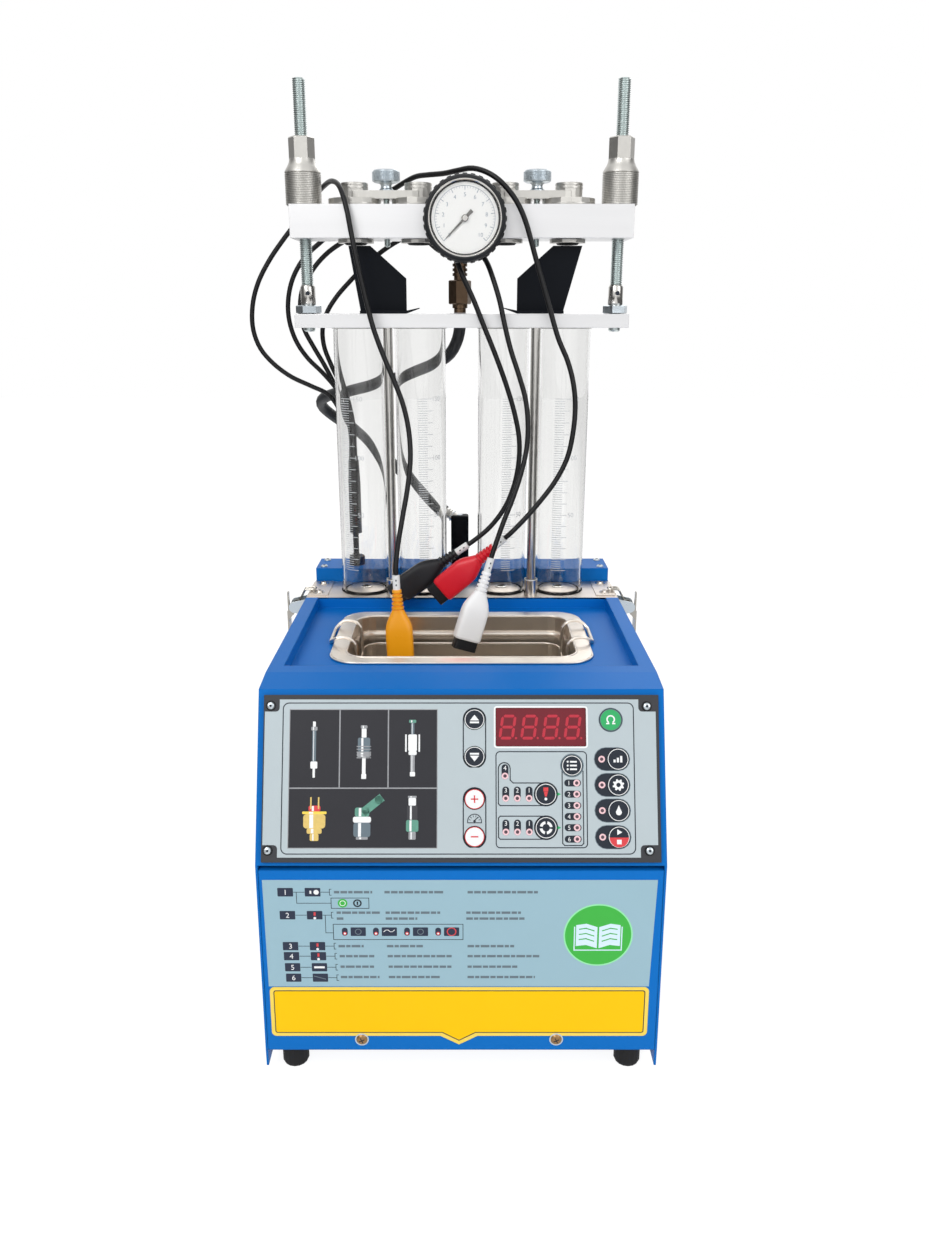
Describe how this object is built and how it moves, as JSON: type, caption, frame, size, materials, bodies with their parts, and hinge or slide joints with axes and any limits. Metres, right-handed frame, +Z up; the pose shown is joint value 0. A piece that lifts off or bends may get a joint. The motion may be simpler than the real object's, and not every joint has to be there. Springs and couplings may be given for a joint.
{
  "type": "fuel injector test bench",
  "caption": "Bench that cleans and tests fuel injectors: body with cleaning tank and key panel, glass tubes under a bar with couplers and a pressure gauge, and coloured lead plugs.",
  "frame": {"origin": "on the surface that the feet rest on, under the middle of the bench without its cords", "axes": "+X to the user's right, +Y to the back of the bench, +Z up; the key panel faces -Y"},
  "size_m": [0.4018, 0.4818, 0.804],
  "materials": {
    "blue_enamel": "semi-gloss baked enamel",
    "stainless": "brushed stainless steel",
    "aluminium": "milled",
    "bracket_black": "powder coat",
    "zinc": "bright zinc plate",
    "gauge_boot": "moulded black boot",
    "black_rubber": "smooth",
    "black_plastic": "satin",
    "needle_black": "flat black",
    "frame_grey": "satin dark grey",
    "board_green": "solder mask",
    "key_green": "satin",
    "key_grey": "satin",
    "glass": "clear",
    "lead_sheath": "satin sheath",
    "plug_yellow": "satin",
    "plug_red": "satin",
    "plug_black": "satin",
    "plug_white": "satin"
  },
  "bodies": {
    "bench": {"body_shell": "blue_enamel", "bracket_left": "bracket_black", "bracket_right": "bracket_black", "chassis": "blue_enamel", "cleaning_tank": "stainless", "control_board": "board_green", "control_frame": "frame_grey", "deck_plate": "stainless", "fluid_reservoir": "black_plastic", "foot_front_left": "black_rubber", "foot_front_right": "black_rubber", "foot_rear_left": "black_rubber", "foot_rear_right": "black_rubber", "glass_tube_1": "glass", "glass_tube_2": "glass", "glass_tube_3": "glass", "glass_tube_4": "glass", "hose_block": "black_plastic", "lead_connector": "black_plastic", "mains_inlet": "black_plastic", "rear_box": "blue_enamel", "threaded_rod_left": "zinc", "threaded_rod_right": "zinc", "upper_plate": "aluminium"},
    "bar": {"distributor_bar": "aluminium", "coupler_clamp_left": "aluminium", "coupler_clamp_right": "aluminium", "gauge_case": "gauge_boot", "plug_black": "plug_black", "plug_red": "plug_red", "plug_white": "plug_white", "plug_yellow": "plug_yellow", "lead_1": "lead_sheath", "lead_2": "lead_sheath", "lead_3": "lead_sheath", "lead_4": "lead_sheath", "hose": "black_rubber"},
    "basket": {"basket": "stainless"},
    "latch_lever_left": {"latch_lever_left": "zinc"},
    "latch_lever_right": {"latch_lever_right": "zinc"},
    "latch_bail_left": {"latch_bail_left": "zinc"},
    "latch_bail_right": {"latch_bail_right": "zinc"},
    "power_switch": {"power_switch": "black_plastic"},
    "thumb_screw_left": {"thumb_screw_left": "zinc"},
    "thumb_screw_right": {"thumb_screw_right": "zinc"},
    "knurled_nut_left": {"knurled_nut_left": "zinc"},
    "knurled_nut_right": {"knurled_nut_right": "zinc"},
    "gauge_needle": {"gauge_needle": "needle_black"},
    "key_up": {"key_up": "key_grey"},
    "key_down": {"key_down": "key_grey"},
    "key_plus": {"key_plus": "key_grey"},
    "key_minus": {"key_minus": "key_grey"},
    "key_test": {"key_test": "key_green"},
    "key_mode": {"key_mode": "key_grey"},
    "key_settings": {"key_settings": "key_grey"},
    "key_lamp": {"key_lamp": "key_grey"},
    "key_start": {"key_start": "key_grey"},
    "key_function": {"key_function": "key_grey"},
    "key_spray": {"key_spray": "key_grey"},
    "key_cycle": {"key_cycle": "key_grey"}
  },
  "joints": [
    {"name": "bar_slide", "type": "slide", "parent": "bench", "child": "bar", "axis": [0, 0, 1], "range_m": [0, 0.045], "deforming": ["lead_1", "lead_2", "lead_3", "lead_4", "hose"]},
    {"name": "basket_lift", "type": "slide", "parent": "bench", "child": "basket", "axis": [0, 0, 1], "range_m": [0, 0.035]},
    {"name": "knurled_nut_left_turn", "type": "hinge", "parent": "bar", "child": "knurled_nut_left", "pos_m": [-0.149, 0.1345, 0.725], "axis": [0, 0, 1], "continuous": true},
    {"name": "knurled_nut_right_turn", "type": "hinge", "parent": "bar", "child": "knurled_nut_right", "pos_m": [0.149, 0.1345, 0.725], "axis": [0, 0, 1], "continuous": true},
    {"name": "thumb_screw_left_turn", "type": "hinge", "parent": "bar", "child": "thumb_screw_left", "pos_m": [-0.071, 0.1345, 0.715], "axis": [0, 0, 1], "continuous": true},
    {"name": "thumb_screw_right_turn", "type": "hinge", "parent": "bar", "child": "thumb_screw_right", "pos_m": [0.071, 0.1345, 0.715], "axis": [0, 0, 1], "continuous": true},
    {"name": "needle_turn", "type": "hinge", "parent": "bar", "child": "gauge_needle", "pos_m": [0.003, 0.0747, 0.68045], "axis": [0, 1, 0], "range_deg": [0, 270], "stiffness_Nm_per_rad": 0.0005},
    {"name": "key_up_press", "type": "slide", "parent": "bench", "child": "key_up", "axis": [0, 0.9184, -0.3955], "range_m": [0, 0.0005], "stiffness_N_per_m": 600, "springref_m": -0.0002},
    {"name": "key_down_press", "type": "slide", "parent": "bench", "child": "key_down", "axis": [0, 0.9184, -0.3955], "range_m": [0, 0.0005], "stiffness_N_per_m": 600, "springref_m": -0.0002},
    {"name": "key_plus_press", "type": "slide", "parent": "bench", "child": "key_plus", "axis": [0, 0.9184, -0.3955], "range_m": [0, 0.0005], "stiffness_N_per_m": 600, "springref_m": -0.0002},
    {"name": "key_minus_press", "type": "slide", "parent": "bench", "child": "key_minus", "axis": [0, 0.9184, -0.3955], "range_m": [0, 0.0005], "stiffness_N_per_m": 600, "springref_m": -0.0002},
    {"name": "key_test_press", "type": "slide", "parent": "bench", "child": "key_test", "axis": [0, 0.9184, -0.3955], "range_m": [0, 0.0005], "stiffness_N_per_m": 600, "springref_m": -0.0002},
    {"name": "key_mode_press", "type": "slide", "parent": "bench", "child": "key_mode", "axis": [0, 0.9184, -0.3955], "range_m": [0, 0.0005], "stiffness_N_per_m": 600, "springref_m": -0.0002},
    {"name": "key_settings_press", "type": "slide", "parent": "bench", "child": "key_settings", "axis": [0, 0.9184, -0.3955], "range_m": [0, 0.0005], "stiffness_N_per_m": 600, "springref_m": -0.0002},
    {"name": "key_lamp_press", "type": "slide", "parent": "bench", "child": "key_lamp", "axis": [0, 0.9184, -0.3955], "range_m": [0, 0.0005], "stiffness_N_per_m": 600, "springref_m": -0.0002},
    {"name": "key_start_press", "type": "slide", "parent": "bench", "child": "key_start", "axis": [0, 0.9184, -0.3955], "range_m": [0, 0.0005], "stiffness_N_per_m": 600, "springref_m": -0.0002},
    {"name": "key_function_press", "type": "slide", "parent": "bench", "child": "key_function", "axis": [0, 0.9184, -0.3955], "range_m": [0, 0.0005], "stiffness_N_per_m": 600, "springref_m": -0.0002},
    {"name": "key_spray_press", "type": "slide", "parent": "bench", "child": "key_spray", "axis": [0, 0.9184, -0.3955], "range_m": [0, 0.0005], "stiffness_N_per_m": 600, "springref_m": -0.0002},
    {"name": "key_cycle_press", "type": "slide", "parent": "bench", "child": "key_cycle", "axis": [0, 0.9184, -0.3955], "range_m": [0, 0.0005], "stiffness_N_per_m": 600, "springref_m": -0.0002},
    {"name": "power_switch_rock", "type": "hinge", "parent": "bench", "child": "power_switch", "pos_m": [0.1195, 0.204, 0.075], "axis": [-1, 0, 0], "range_deg": [0, 16]},
    {"name": "latch_lever_left_swing", "type": "hinge", "parent": "bench", "child": "latch_lever_left", "pos_m": [-0.175, 0.1245, 0.305], "axis": [0, 1, 0], "range_deg": [0, 70]},
    {"name": "latch_bail_left_swing", "type": "hinge", "parent": "latch_lever_left", "child": "latch_bail_left", "pos_m": [-0.178, 0.1245, 0.296], "axis": [0, 1, 0], "range_deg": [-58, 0]},
    {"name": "latch_lever_right_swing", "type": "hinge", "parent": "bench", "child": "latch_lever_right", "pos_m": [0.175, 0.1245, 0.305], "axis": [0, -1, 0], "range_deg": [0, 70]},
    {"name": "latch_bail_right_swing", "type": "hinge", "parent": "latch_lever_right", "child": "latch_bail_right", "pos_m": [0.178, 0.1245, 0.296], "axis": [0, -1, 0], "range_deg": [-58, 0]}
  ],
  "couplings": [
    {"joint": "latch_bail_left_swing", "follows": "latch_lever_left_swing", "ratio": -0.82},
    {"joint": "latch_bail_right_swing", "follows": "latch_lever_right_swing", "ratio": -0.82}
  ]
}
